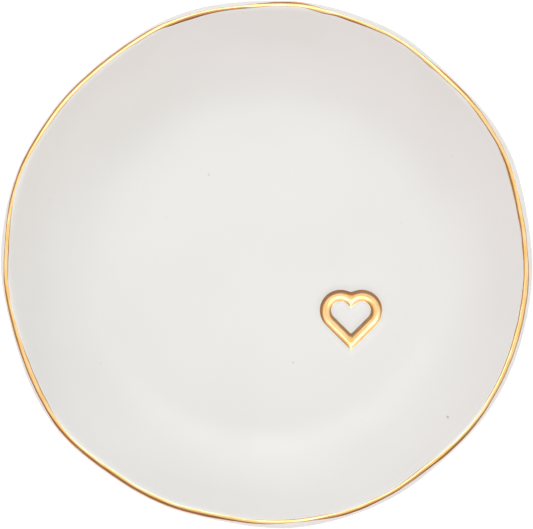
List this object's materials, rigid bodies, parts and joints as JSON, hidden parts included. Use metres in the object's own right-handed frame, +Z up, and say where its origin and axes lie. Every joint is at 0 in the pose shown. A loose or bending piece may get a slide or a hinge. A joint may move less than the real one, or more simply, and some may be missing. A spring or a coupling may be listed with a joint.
{
  "type": "ring dish",
  "caption": "Round shallow ceramic dish with an uneven hand-formed rim, a gold line on the lip and a small gilded heart pressed into the floor, for rings and small jewellery.",
  "frame": {"origin": "on the table, at the middle of the foot ring and of the rim's box", "axes": "+Z up out of the bowl; +Y to the top of the picture and +X to its right, so the heart stands upright"},
  "size_m": [0.1025, 0.1017, 0.0195],
  "materials": {
    "bare_clay": "unglazed fired clay, fine matt grain",
    "white_glaze": "satin white glaze, soft sheen, a few pinholes and specks",
    "gold": "bright gold lustre, hand painted and fired on"
  },
  "bodies": {
    "root": {"clay_body": "bare_clay", "white_glaze": "white_glaze", "base_glaze": "white_glaze", "gold_rim": "gold", "gold_heart": "gold"}
  },
  "joints": []
}
